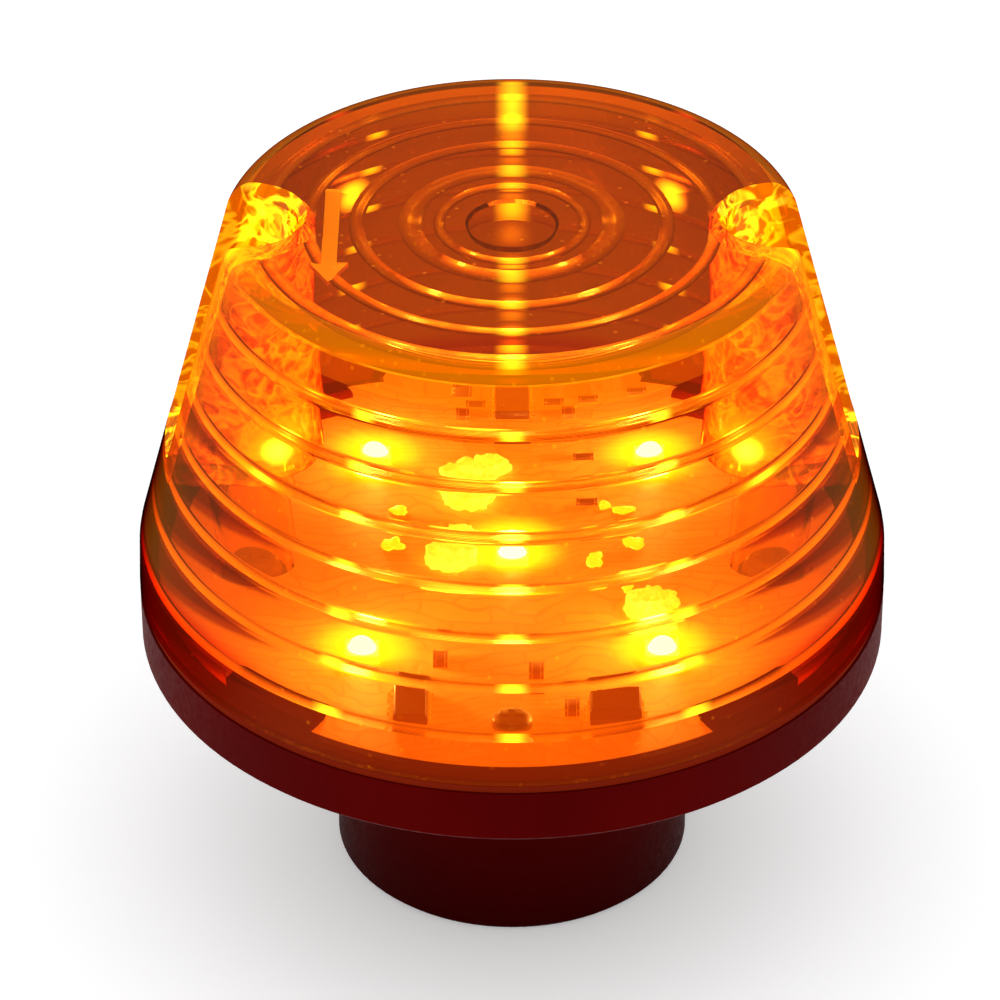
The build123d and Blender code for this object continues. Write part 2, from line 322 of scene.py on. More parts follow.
def make_grain_group():
    """Mottled colour, uneven gloss and a fine surface height, for moulded and painted parts."""
    group, given, out = new_group(
        "surface_grain",
        {"Colour": (0.5, 0.5, 0.5), "Second Colour": (0.4, 0.4, 0.4), "Grain": 900.0, "Mottle": 60.0,
         "Smoothest": 0.3, "Roughest": 0.5},
        {"Colour": "NodeSocketColor", "Roughness": "NodeSocketFloat", "Height": "NodeSocketFloat"},
    )
    place = add_node(group, "ShaderNodeTexCoord")
    mottle = add_node(group, "ShaderNodeTexNoise", Detail=3.0)
    grain = add_node(group, "ShaderNodeTexNoise", Detail=2.0)
    gloss = add_node(group, "ShaderNodeMapRange", From_Min=0.3, From_Max=0.7)
    link = group.links.new
    for texture, scale in ((mottle, "Mottle"), (grain, "Grain")):
        link(place.outputs["Object"], texture.inputs["Vector"])
        link(given.outputs[scale], texture.inputs["Scale"])
    spread = ramp(group, mottle.outputs["Fac"], 0.35, 0.65, "LINEAR")
    tint = mix(group, spread, given.outputs["Colour"], given.outputs["Second Colour"])
    link(grain.outputs["Fac"], gloss.inputs["Value"])
    link(given.outputs["Smoothest"], gloss.inputs["To Min"])
    link(given.outputs["Roughest"], gloss.inputs["To Max"])
    link(tint, out.inputs["Colour"])
    link(gloss.outputs["Result"], out.inputs["Roughness"])
    link(grain.outputs["Fac"], out.inputs["Height"])
    return group


def make_ripple_and_glow_marks_group():
    """Slow waves for clear moulded plastic, and masks for painted light on it: wandering caustic lines and a
    few small specks that glow as painted sparkles.
    """
    group, given, out = new_group(
        "ripple_and_glow_marks",
        {"Wave": 120.0, "Specks": 700.0, "Speck Size": 0.2, "Veins": 150.0, "Vein Width": 0.05},
        {"Height": "NodeSocketFloat", "Specks": "NodeSocketFloat", "Veins": "NodeSocketFloat"},
    )
    place = add_node(group, "ShaderNodeTexCoord")
    wave = add_node(group, "ShaderNodeTexNoise", Detail=1.0)
    speck = add_node(group, "ShaderNodeTexVoronoi")
    streak = add_node(group, "ShaderNodeTexNoise", Detail=2.0, Distortion=1.2)
    link = group.links.new
    for texture, scale in ((wave, "Wave"), (speck, "Specks"), (streak, "Veins")):
        link(place.outputs["Object"], texture.inputs["Vector"])
        link(given.outputs[scale], texture.inputs["Scale"])
    ridge = math_node(group, "ABSOLUTE", math_node(group, "SUBTRACT", streak.outputs["Fac"], 0.5))
    for label, away, reach, kind in (("Specks", speck.outputs["Distance"], "Speck Size", "LINEAR"),
                                     ("Veins", ridge, "Vein Width", "SMOOTHSTEP")):
        mask = add_node(group, "ShaderNodeMapRange", interpolation_type=kind, From_Min=0.0,
                        To_Min=1.0, To_Max=0.0)
        link(away, mask.inputs["Value"])
        link(given.outputs[reach], mask.inputs["From Max"])
        link(mask.outputs["Result"], out.inputs[label])
    link(wave.outputs["Fac"], out.inputs["Height"])
    return group


GRAIN = make_grain_group()
RIPPLE_AND_GLOW_MARKS = make_ripple_and_glow_marks_group()


# Materials


def new_material(name, colour, **sockets):
    """A Principled material with its plain values on the shader's own sockets."""
    made = bpy.data.materials.new(name)
    made.use_nodes = True
    shader = made.node_tree.nodes["Principled BSDF"]
    feed(made.node_tree, colour, shader.inputs["Base Color"])
    for socket, value in sockets.items():
        feed(made.node_tree, value, shader.inputs[socket.replace("_", " ")])
    return made, made.node_tree, shader


def grained(name, colour, second, grain=900.0, mottle=60.0, gloss=(0.3, 0.5), bump=0.2, depth=0.02,
            **sockets):
    """A material whose colour, gloss and fine relief come from the grain group."""
    made, tree, shader = new_material(name, colour, **sockets)
    group = add_node(tree, "ShaderNodeGroup", node_tree=GRAIN)
    for label, value in {"Colour": colour, "Second Colour": second, "Grain": grain, "Mottle": mottle,
                         "Smoothest": gloss[0], "Roughest": gloss[1]}.items():
        feed(tree, value, group.inputs[label])
    relief = add_node(tree, "ShaderNodeBump", Strength=bump, Distance=depth * MM)
    tree.links.new(group.outputs["Colour"], shader.inputs["Base Color"])
    tree.links.new(group.outputs["Roughness"], shader.inputs["Roughness"])
    tree.links.new(group.outputs["Height"], relief.inputs["Height"])
    tree.links.new(relief.outputs["Normal"], shader.inputs["Normal"])
    return made


def amber(name, wall, coat, wave, relief_depth, glow, marks, marked="Specks", roughness=0.0, **ripple):
    """Clear amber plastic with the ripples of a moulding, and a painted glow of the lamp's light that is
    brighter on the marks.
    """
    made, tree, shader = new_material(
        name, wall, Roughness=roughness, IOR=1.49, Transmission_Weight=1.0, Specular_Tint=AMBER_GLOSS,
        Coat_Weight=1.0, Coat_IOR=1.0, Coat_Roughness=0.0, Coat_Tint=coat, Emission_Strength=1.0
    )
    group = add_node(tree, "ShaderNodeGroup", node_tree=RIPPLE_AND_GLOW_MARKS)
    for label, value in {"Wave": wave, **ripple}.items():
        feed(tree, value, group.inputs[label.replace("_", " ")])
    relief = add_node(tree, "ShaderNodeBump", Strength=1.0, Distance=relief_depth * MM)
    tree.links.new(mix(tree, group.outputs[marked], glow, marks), shader.inputs["Emission Color"])
    tree.links.new(group.outputs["Height"], relief.inputs["Height"])
    tree.links.new(relief.outputs["Normal"], shader.inputs["Normal"])
    return made


def lay_over(made, socket_name, mask, colour):
    """Mixes another colour over a material's own, where the mask is."""
    tree = made.node_tree
    socket = tree.nodes["Principled BSDF"].inputs[socket_name]
    own = socket.links[0].from_socket if socket.links else tuple(socket.default_value)[:3]
    tree.links.new(mix(tree, mask, own, colour), socket)


def add_glow(made, mask, colour):
    """Lays another painted glow over a material's own, where the mask is."""
    lay_over(made, "Emission Color", mask, colour)


def add_rib_glints(made):
    """Paints glints on the ribs of the lens where they catch the lights, and a painted glow on them towards
    both sides.
    """
    tree = made.node_tree
    x, y, _ = place_parts(tree)
    turn = turn_from_front(tree, x, y)
    add_glow(made, band(tree, turn, SIDE_GLOW_TURN, SIDE_GLOW_HALF_WIDTH), SIDE_GLOW)
    for degrees in GLINT_TURNS:
        add_glow(made, band(tree, turn, math.radians(degrees), math.radians(GLINT_HALF_WIDTH)),
                 GLINT if degrees < 90 else BACK_GLINT)


def column_band(tree, x):
    """A mask of the upright column of painted glints in the middle of the lens's back."""
    return band(tree, x, 0.0, COLUMN_HALF_WIDTH * MM)


def add_ring_glints(made):
    """Paints glints on the rings of the lens's top where they cross the column."""
    tree = made.node_tree
    add_glow(made, column_band(tree, place_parts(tree)[0]), GLINT)


def add_back_column(made):
    """Paints a glow over the back of the lens, glints in a banded column on it, and two hot glints beside the
    column.
    """
    tree = made.node_tree
    x, y, z = place_parts(tree)
    wave = math_node(tree, "SINE", product(tree, z, math.pi / (COLUMN_PITCH * MM)))
    bands = ramp(tree, math_node(tree, "ABSOLUTE", wave), 0.3, 0.8)
    column = product(tree, column_band(tree, x), ramp_mm(tree, y, *COLUMN_DEPTHS))
    add_glow(made, ramp_mm(tree, y, *BACK_DEPTHS), BACK_GLOW)
    add_glow(made, product(tree, column, bands), COLUMN_GLOW)
    add_glow(made, spots(tree, BACK_SPOTS, BACK_SPOT_RADIUS), BACK_SPOT_GLOW)


def add_side_wedges(made):
    """Paints shade towards both sides of the lens: a dark wedge below each rib, and a redder coat tint on the
    skirt.
    """
    tree = made.node_tree
    x, y, z = place_parts(tree)
    turn = turn_from_front(tree, x, y)
    below = math_node(tree, "SUBTRACT", RIB_HEIGHTS[0] * MM, z)
    below = math_node(tree, "FRACT", math_node(tree, "DIVIDE", below, RIB_PITCH * MM))
    reach = product(tree, ramp(tree, turn, *WEDGE_FRONT_TURNS, "LINEAR"),
                    ramp(tree, turn, *WEDGE_BACK_TURNS), ramp_mm(tree, z, *WEDGE_HEIGHTS))
    inside = math_node(tree, "SUBTRACT", product(tree, reach, WEDGE_SHARE), below)
    lay_over(made, "Base Color", ramp(tree, inside, 0.0, WEDGE_FADE), WEDGE_PAINTED_SHADE)
    skirt = product(tree, ramp(tree, turn, *SKIRT_TURNS), ramp_mm(tree, z, *SKIRT_HEIGHTS))
    lay_over(made, "Coat Tint", skirt, SKIRT_SHADE_TINT)


def add_pocket_edges(made):
    """Paints a bright glow on the rim of each pocket's front wall, and calms the rim of its back wall with a
    dimmer painted glow.
    """
    tree = made.node_tree
    x, y, z = place_parts(tree)
    squares = math_node(tree, "ADD", product(tree, x, x), product(tree, y, y))
    slope = (SKIRT_TOP_RADIUS - TOP_RADIUS) / (LENS_TOP - SKIRT_TOP)
    drop = product(tree, math_node(tree, "SUBTRACT", z, SKIRT_TOP * MM), slope)
    depth = math_node(tree, "ADD", math_node(tree, "SQRT", squares), drop)
    depth = math_node(tree, "SUBTRACT", SKIRT_TOP_RADIUS * MM, depth)
    back = product(tree, ramp_mm(tree, depth, *BACK_RIM_DEPTHS), ramp_mm(tree, y, *BACK_RIM_PLACES))
    add_glow(made, product(tree, back, BACK_RIM_SHARE), BACK_RIM_GLOW)
    front = product(tree, ramp_mm(tree, depth, *FRONT_RIM_DEPTHS),
                    ramp_mm(tree, y, *FRONT_RIM_PLACES))
    add_glow(made, front, FRONT_RIM_GLOW)


def add_reeding(made, kind, depth):
    """Fine waves across the beads of the lens, which spread each light along the beads' width."""
    tree = made.node_tree
    relief = next(node for node in tree.nodes if node.type == "BUMP")
    place = add_node(tree, "ShaderNodeTexCoord")
    waves = add_node(tree, "ShaderNodeTexWave", wave_type=kind,
                     Scale=2 * math.pi / (20.0 * REED_PITCH * MM))
    waves.bands_direction = waves.rings_direction = "Z"
    tree.links.new(place.outputs["Object"], waves.inputs["Vector"])
    tree.links.new(waves.outputs["Fac"], relief.inputs["Height"])
    relief.inputs["Distance"].default_value = depth * MM


def base_plastic():
    """Dark red moulded plastic with painted shade, darker towards the neck's foot, and a painted glow of the
    lens's light at its upper edge.
    """
    made = grained("base_plastic", BASE_RED, (0.07, 0.0004, 0.0004), 1400.0, 45.0, (0.45, 0.62), 0.25, 0.03,
                   Specular_IOR_Level=0.02, Specular_Tint=(1.0, 0.1, 0.1), Emission_Color=(0.0, 0.0, 0.0),
                   Emission_Strength=1.0)
    tree = made.node_tree
    height = place_parts(tree)[2]
    lay_over(made, "Base Color", ramp_mm(tree, height, 0.0, NECK_FOOT, "LINEAR"), BASE_PAINTED_SHADE)
    add_glow(made, ramp_mm(tree, height, *BASE_LIT_HEIGHTS), BASE_GLOW)
    return made


def board_laminate():
    """Pale solder mask over faint tracks, with painted light from within the lamp: a cloudy glow and a pool
    of light round each light.
    """
    made, tree, shader = new_material("board_laminate", (0.8, 0.62, 0.4), Roughness=0.4,
                                      Emission_Strength=1.0)
    place = add_node(tree, "ShaderNodeTexCoord")
    clouds = add_node(tree, "ShaderNodeTexNoise", Scale=55.0, Detail=3.0)
    bent = add_node(tree, "ShaderNodeMix", data_type="VECTOR", Factor=0.02)
    tracks = add_node(tree, "ShaderNodeTexBrick", Scale=150.0, Mortar_Size=0.03, Brick_Width=1.1,
                      Row_Height=0.28, Color1=(0.8, 0.62, 0.26, 1), Color2=(0.72, 0.52, 0.22, 1),
                      Mortar=(0.66, 0.42, 0.18, 1))
    relief = add_node(tree, "ShaderNodeBump", Strength=0.3, Distance=0.03 * MM)
    link = tree.links.new
    link(place.outputs["Object"], clouds.inputs["Vector"])
    link(place.outputs["Object"], bent.inputs["A"])
    link(clouds.outputs["Color"], bent.inputs["B"])
    link(bent.outputs["Result"], tracks.inputs["Vector"])
    link(tracks.outputs["Color"], shader.inputs["Base Color"])
    link(tracks.outputs["Fac"], relief.inputs["Height"])
    link(relief.outputs["Normal"], shader.inputs["Normal"])
    link(mix(tree, clouds.outputs["Fac"], *BOARD_GLOWS), shader.inputs["Emission Color"])
    feet = [middle_mm(f"led_dome_{n}") for n in LED_NUMBERS]
    halos = [(foot.x, foot.y + HALO_OFFSET, BOARD_TOP) for foot in feet]
    add_glow(made, spots(tree, halos, HALO_RADIUS), HALO_GLOW)
    return made


def pocket_amber():
    """The pockets' rippled amber with painted light: bright caustic lines, glowing specks, glowing rims and
    painted images of the lights.
    """
    made = amber("amber_pocket", AMBER_FOLD, AMBER_FOLD_COAT, 330.0, 0.1, (0.6, 0.16, 0.0), (2.2, 1.6, 0.03),
                 marked="Veins", Veins=260.0, Vein_Width=0.1, Specks=420.0, Speck_Size=0.3)
    tree = made.node_tree
    ripple = next(node for node in tree.nodes if node.type == "GROUP")
    add_glow(made, ripple.outputs["Specks"], (2.6, 2.2, 0.1))
    add_pocket_edges(made)
    for places, radius, glow in POCKET_GLOWS:
        add_glow(made, spots(tree, places, radius), glow)
    return made


BASE_PLASTIC = base_plastic()
# The rubber's emission is a painted red glow of the lamp's light at the seam
SEAL_RUBBER = grained("seal_rubber", (0.11, 0.005, 0.002), (0.08, 0.003, 0.002), 1600.0, 90.0, (0.6, 0.8),
                      Specular_IOR_Level=0.03, Emission_Color=(0.8, 0.06, 0.0), Emission_Strength=0.12)
# The ambers' glows, and the colours of their marks, are painted light of the lamp in the lens
CLEAR = (AMBER_WALL, AMBER_COAT, 90.0, 0.006)
AMBER_CLEAR = amber("amber_clear", *CLEAR, (0.055, 0.006, 0.0), (0.5, 0.2, 0.0),
                    Specks=420.0, Speck_Size=0.12)
AMBER_RIB = amber("amber_rib", *CLEAR, (0.3, 0.06, 0.0), (0.7, 0.2, 0.0))
AMBER_RING = amber("amber_ring", *CLEAR, (0.4, 0.13, 0.0), (0.8, 0.35, 0.0))
AMBER_EDGE = amber("amber_edge", *CLEAR, (0.5, 0.19, 0.0), (0.8, 0.35, 0.0))
add_back_column(AMBER_CLEAR)
add_side_wedges(AMBER_CLEAR)
add_reeding(AMBER_RIB, "BANDS", 0.012)
add_reeding(AMBER_RING, "RINGS", 0.014)
add_rib_glints(AMBER_RIB)
add_ring_glints(AMBER_RING)
AMBER_POCKET = pocket_amber()
# The wells' and the arrow's glows are painted light of the lamp
AMBER_WELL = amber("amber_well", AMBER_THIN, AMBER_THIN_COAT, 260.0, 0.03, (0.16, 0.11, 0.0), (0.4, 0.2, 0.0))
AMBER_FROSTED = amber("amber_frosted", AMBER_WALL, AMBER_COAT, 600.0, 0.03, (1.3, 0.85, 0.0),
                      (1.4, 0.75, 0.01), marked="Veins", roughness=0.35)
BOARD = board_laminate()
# Painted glow of the lamp's light on the chips
EPOXY = grained("chip_epoxy", (0.05, 0.03, 0.025), (0.03, 0.02, 0.018), 3000.0, 300.0, (0.35, 0.6), 0.3, 0.01,
                Emission_Color=(1.0, 0.2, 0.02), Emission_Strength=0.8)
CERAMIC = grained("capacitor_ceramic", (0.32, 0.16, 0.08), (0.26, 0.12, 0.06), 2500.0, 300.0, (0.4, 0.6),
                  Emission_Color=(1.0, 0.2, 0.02), Emission_Strength=0.8)
# Painted glow round each light's core, on its housing
LED_CERAMIC = grained("led_ceramic", (0.9, 0.84, 0.7), (0.82, 0.74, 0.6), 2000.0, 300.0, (0.3, 0.5),
                      Emission_Color=GLOW, Emission_Strength=6.0)
# Painted glow of the lamp's light in the sealant
SEALANT = grained("sealant_silicone", (0.9, 0.88, 0.8), (0.84, 0.8, 0.7), 700.0, 150.0, (0.25, 0.5),
                  0.5, 0.05, Emission_Color=(1.0, 0.8, 0.15), Emission_Strength=4.2)
# Painted highlights of the lights on the solder, and a painted glow of the lamp on the leads and screws
SOLDER = grained("solder", (0.75, 0.7, 0.6), (0.6, 0.55, 0.48), 1800.0, 250.0, (0.15, 0.35),
                 Metallic=1.0, Emission_Color=(1.5, 1.1, 0.1), Emission_Strength=3.6)
TIN = grained("lead_tin", (0.6, 0.5, 0.4), (0.5, 0.4, 0.32), 1800.0, 250.0, (0.2, 0.4),
              Metallic=1.0, Emission_Color=(1.0, 0.36, 0.03), Emission_Strength=1.5)
STEEL = grained("screw_steel", (0.42, 0.38, 0.33), (0.34, 0.3, 0.26), 1500.0, 200.0, (0.25, 0.45),
                Metallic=1.0, Emission_Color=(1.0, 0.25, 0.03), Emission_Strength=0.5)
BRASS = grained("insert_brass", (0.7, 0.48, 0.2), (0.6, 0.4, 0.16), 1500.0, 200.0, (0.25, 0.4), Metallic=1.0)
LED_LIT, _, _ = new_material("led_lit", (1.0, 0.95, 0.85), Roughness=0.3, Emission_Color=LED_LIGHT,
                             Emission_Strength=800.0)


def assign(made, *names):
    """Gives CAD nodes their material."""
    for name in names:
        nodes[name].data.materials.clear()
        nodes[name].data.materials.append(made)


# Helpers for meshes


def shade(mesh):
    """Smooth faces, with a crease wherever the surface turns by more than an angle."""
    bm = bmesh.new()
    bm.from_mesh(mesh)
    limit = math.radians(SHARP_ANGLE)
    for face in bm.faces:
        face.smooth = True
    for edge in bm.edges:
        edge.smooth = edge.is_manifold and edge.calc_face_angle(0.0) < limit
    bm.to_mesh(mesh)
    bm.free()


def from_bmesh(name, bm, *materials):
    """Turns a bmesh in millimetres into an object in metres."""
    bmesh.ops.recalc_face_normals(bm, faces=bm.faces)
    bmesh.ops.scale(bm, vec=(MM, MM, MM), verts=bm.verts)
    mesh = bpy.data.meshes.new(name)
    bm.to_mesh(mesh)
    bm.free()
    for made in materials:
        mesh.materials.append(made)
    obj = bpy.data.objects.new(name, mesh)
    bpy.context.scene.collection.objects.link(obj)
    return obj


def lathe(bm, profile, segments=LATHE_SEGMENTS, centre=(0.0, 0.0)):
    """Revolves (radius, height) points about an upright axis; the first and last lie on the axis."""
    turns = [2 * math.pi * k / segments for k in range(segments)]
    loops = []
    for radius, height in profile:
        if radius == 0:
            loops.append([bm.verts.new((*centre, height))])
            continue
        loops.append([
            bm.verts.new((centre[0] + radius * math.cos(t), centre[1] + radius * math.sin(t), height))
            for t in turns
        ])
    for near, far in zip(loops, loops[1:]):
        for k in range(segments):
            n = (k + 1) % segments
            corners = [near[k % len(near)], near[n % len(near)], far[n % len(far)], far[k % len(far)]]
            bm.faces.new(list(dict.fromkeys(corners)))


def arc(centre, radius, start, end, steps):
    """Points of an arc in the (radius, height) plane, in degrees."""
    points = []
    for k in range(steps + 1):
        turn = math.radians(start + (end - start) * k / steps)
        points.append((centre[0] + radius * math.cos(turn), centre[1] + radius * math.sin(turn)))
    return points


def prism(bm, outline, heights):
    """Joins copies of a closed outline, given as a function of height, and caps both ends."""
    loops = [[bm.verts.new((x, y, z)) for x, y in outline(z)] for z in heights]
    for near, far in zip(loops, loops[1:]):
        for k in range(len(near)):
            n = (k + 1) % len(near)
            bm.faces.new((near[k], near[n], far[n], far[k]))
    bm.faces.new(list(reversed(loops[0])))
    bm.faces.new(loops[-1])


def boolean(target, operation, tool):
    """Cuts or joins the tool into the target and removes the tool."""
    change = target.modifiers.new("shape", "BOOLEAN")
    change.operation = operation
    change.solver = "EXACT"
    change.material_mode = "TRANSFER"
    change.object = tool
    graph = bpy.context.evaluated_depsgraph_get()
    shaped = bpy.data.meshes.new_from_object(target.evaluated_get(graph))
    target.modifiers.remove(change)
    target.data = shaped
    bpy.data.objects.remove(tool)


def show(obj, body, slot_name, *replaced):
    """Sets a finished piece on its body, with the nodes that it stands for; the name of its finish is not
    used.
    """
    shade(obj.data)
    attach(obj, body)
    if replaced:
        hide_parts(*replaced)
    return obj


# Lens


def cone_radius(height):
    share = (height - SKIRT_TOP) / (LENS_TOP - SKIRT_TOP)
    return SKIRT_TOP_RADIUS + (TOP_RADIUS - SKIRT_TOP_RADIUS) * share


def lens_outside():
    slope = math.degrees(math.atan2(SKIRT_TOP_RADIUS - TOP_RADIUS, LENS_TOP - SKIRT_TOP))
    round_height = LENS_TOP - TOP_ROUND
    round_centre = cone_radius(round_height) - TOP_ROUND / math.cos(math.radians(slope))
    bm = bmesh.new()
    lathe(bm, [
        (0, LENS_FOOT), (FOOT_RADIUS - FOOT_CHAMFER, LENS_FOOT), (FOOT_RADIUS, LENS_FOOT + FOOT_CHAMFER),
        (SKIRT_TOP_RADIUS + 0.03, SKIRT_TOP - 0.3), (cone_radius(SKIRT_TOP + 0.3), SKIRT_TOP + 0.3),
        *arc((round_centre, round_height), TOP_ROUND, slope, 90, 10),
        (0, LENS_TOP),
    ])
    for face in bm.faces:
        middle = face.calc_center_median()
        on_round = middle.z > round_height and math.hypot(middle.x, middle.y) > round_centre
        face.material_index = 1 if on_round or middle.z < LENS_FOOT + 0.2 else 0
    return from_bmesh("lens_moulding", bm, AMBER_CLEAR, AMBER_EDGE)


def bead(along, into, at):
    """A rounded bead: points of an arc that leaves a straight line and comes back to it."""
    radius = (along * along + into * into) / (2 * into)
    half_turn = math.asin(min(1.0, along / radius))
    points = []
    for k in range(BEAD_STEPS + 1):
        turn = half_turn * (2 * k / BEAD_STEPS - 1)
        points.append((at[0] + radius * math.sin(turn), at[1] + into - radius * (1 - math.cos(turn))))
    return points


def flute(height):
    """How much a flute thickens the wall at a height: most at the ribs, least half way between them."""
    share = ((height - RIB_HEIGHTS[0]) / RIB_PITCH) % 1.0
    return FLUTE_DEPTH * ((2 * share - 1) ** 2 - 1 / 3)


def lens_hollow():
    """The lens's inside, with its ribs, rings and boss; the beads have their own material, with fine reeding
    and painted glints and glow.
    """
    profile = [(0, LENS_FOOT - 1), (LENS_BORE, LENS_FOOT - 1), (LENS_BORE, SKIRT_BORE_TOP)]
    for height in RIB_HEIGHTS:
        for rise, depth in bead(RIB_HALF_WIDTH, RIB_DEPTH, (height, 0.0)):
            profile.append((cone_radius(rise) - LENS_WALL - flute(rise) - depth, rise))
        for step in range(1, 12):
            rise = height + RIB_HALF_WIDTH + (RIB_PITCH - 2 * RIB_HALF_WIDTH) * step / 12
            if rise < TOP_UNDERSIDE - 0.2:
                profile.append((cone_radius(rise) - LENS_WALL - flute(rise), rise))
    profile.append((cone_radius(TOP_UNDERSIDE) - LENS_WALL, TOP_UNDERSIDE))
    for radius, half_width in RING_HALF_WIDTHS.items():
        for inwards, depth in bead(half_width, RING_DEPTH, (-radius, 0.0)):
            profile.append((-inwards, TOP_UNDERSIDE - depth))
    profile += [(BOSS_RADIUS + 0.3, TOP_UNDERSIDE), (BOSS_RADIUS, TOP_UNDERSIDE - BOSS_DEPTH),
                (0, TOP_UNDERSIDE - BOSS_DEPTH - 0.15)]
    bm = bmesh.new()
    lathe(bm, profile)
    for face in bm.faces:
        middle = face.calc_center_median()
        radius = math.hypot(middle.x, middle.y)
        if middle.z < TOP_UNDERSIDE - TOP_ROUND:
            on_bead = any(abs(middle.z - height) < RIB_HALF_WIDTH for height in RIB_HEIGHTS)
            face.material_index = 1 if on_bead else 0
        elif any(abs(radius - ring) < half_width for ring, half_width in RING_HALF_WIDTHS.items()):
            face.material_index = 2
        elif radius > max(RING_HALF_WIDTHS):
            face.material_index = 3
    return from_bmesh("lens_hollow", bm, AMBER_CLEAR, AMBER_RIB, AMBER_RING, AMBER_EDGE)


def pocket_outline(side, radius):
    """U-shaped outline round a screw, open towards the outside of the lens."""
    points = []
    for k in range(POCKET_STEPS + 1):
        turn = math.pi / 2 + math.pi * k / POCKET_STEPS
        points.append((side * (SCREW_OFFSET + radius * math.cos(turn)), radius * math.sin(turn)))
    reach = side * FOOT_RADIUS * 1.2
    points += [(reach, -radius), (reach, radius)]
    return points


def pockets(radius, floor, rim=0.0):
    """Both pocket shapes, with a rounded foot and a rim that opens at the lens's top."""
    swells = [(floor + POCKET_FOOT_ROUND * (1 - math.cos(t)), -POCKET_FOOT_ROUND * (1 - math.sin(t)))
              for t in (0.0, 0.4, 0.8, 1.2, math.pi / 2)]
    swells += [(LENS_TOP - rim * math.cos(t), rim * (1 - math.sin(math.pi / 2 - t)))
               for t in (0.0, 0.3, 0.6, 0.9, 1.2, math.pi / 2) if rim]
    swells.append((LENS_TOP + 4, rim))
    swell_at = dict(swells)
    bm = bmesh.new()
    for side in SIDES.values():
        prism(bm, lambda z: pocket_outline(side, radius + swell_at[z]), sorted(swell_at))
    return from_bmesh("pocket_tool", bm, AMBER_POCKET)


def pins(radius, low, high):
    """Upright round bars on both screw axes."""
    bm = bmesh.new()
    for side in SIDES.values():
        lathe(bm, [(0, low), (radius, low), (radius, high), (0, high)], 96, (side * SCREW_OFFSET, 0.0))
    return from_bmesh("pin_tool", bm, AMBER_WELL)


def arrow_relief():
    """An arrow that stands down from the lens's top, pointing to the front."""
    half = [(ARROW_SHAFT, ARROW_BACK), (ARROW_SHAFT, ARROW_NECK), (ARROW_HEAD, ARROW_NECK)]
    outline = [(ARROW_X - x, y) for x, y in half] + [(ARROW_X, ARROW_FRONT)]
    outline += [(ARROW_X + x, y) for x, y in reversed(half)]
    bm = bmesh.new()
    prism(bm, lambda z: outline, (TOP_UNDERSIDE - 0.5, TOP_UNDERSIDE + 0.5))
    return from_bmesh("arrow_tool", bm, AMBER_FROSTED)


def make_lens():
    """One clear moulding: ribbed cone, ringed top, two open pockets and a well below each."""
    hollow = lens_hollow()
    boolean(hollow, "DIFFERENCE",
            pockets(POCKET_RADIUS + POCKET_WALL, POCKET_FLOOR - POCKET_FLOOR_THICKNESS))
    boolean(hollow, "DIFFERENCE", arrow_relief())
    lens = lens_outside()
    boolean(lens, "DIFFERENCE", hollow)
    well_top = POCKET_FLOOR - 0.5 * POCKET_FLOOR_THICKNESS
    boolean(lens, "UNION", pins(WELL_RADIUS + WELL_WALL, WELL_BOTTOM, well_top))
    boolean(lens, "DIFFERENCE", pockets(POCKET_RADIUS, POCKET_FLOOR, POCKET_RIM_ROUND))
    boolean(lens, "DIFFERENCE", pins(WELL_RADIUS, WELL_FLOOR, POCKET_FLOOR + 2))
    boolean(lens, "DIFFERENCE", pins(SCREW_HOLE_RADIUS, WELL_BOTTOM - 1, WELL_FLOOR + 1))
    return show(lens, "lens", "lens_amber", "lens")


# Lights and small parts on the board


def make_led_dome(number):
    """Clear dome on a short collar, lit."""
    name = f"led_dome_{number}"
    place = middle_mm(name)
    foot = low_mm(name).z
    collar_radius, collar_height = DOME_COLLAR
    shoulder = foot + collar_height
    bm = bmesh.new()
    lathe(bm, [(0, foot), (collar_radius, foot), (collar_radius, shoulder),
               *arc((0, shoulder), DOME_RADIUS, 5, 84, 9), (0, foot + collar_height + DOME_RADIUS)],
          40, (place.x, place.y))
    return show(from_bmesh(f"led_light_{number}", bm, LED_LIT), "base", "led_lit", name)


def sealant_blob(number, x, y, half_x, half_y, height):
    """One rounded, uneven blob, flat where it sits on the board."""
    bm = bmesh.new()
    bmesh.ops.create_icosphere(bm, subdivisions=5, radius=1.0)
    for vert in bm.verts:
        way = vert.co.normalized()
        swell = 0.92 + 0.3 * noise.noise(way * 1.3 + Vector((number * 7.3, 0, 0)))
        swell += 0.2 * noise.noise(way * 3.1 + Vector((0, number * 5.1, 0)))
        swell += 0.08 * noise.noise(way * 7.0 + Vector((0, 0, number * 3.7)))
        rise = way.z ** 0.7 if way.z > 0 else 0.0
        vert.co = (x + way.x * half_x * swell, y + way.y * half_y * swell, BOARD_TOP + rise * height * swell)
    bmesh.ops.remove_doubles(bm, verts=bm.verts, dist=0.001)
    return from_bmesh(f"sealant_blob_{number}", bm, SEALANT)


def make_sealant(number):
    """A lump of sealant, squeezed out by hand over a soldered wire."""
    lump, *others = [sealant_blob(10 * number + k, *blob) for k, blob in enumerate(SEALANT_BLOBS[number])]
    for other in others:
        boolean(lump, "UNION", other)
    lump.name = f"sealant_lump_{number}"
    return show(lump, "base", "sealant_silicone", f"wire_sealant_{number}")


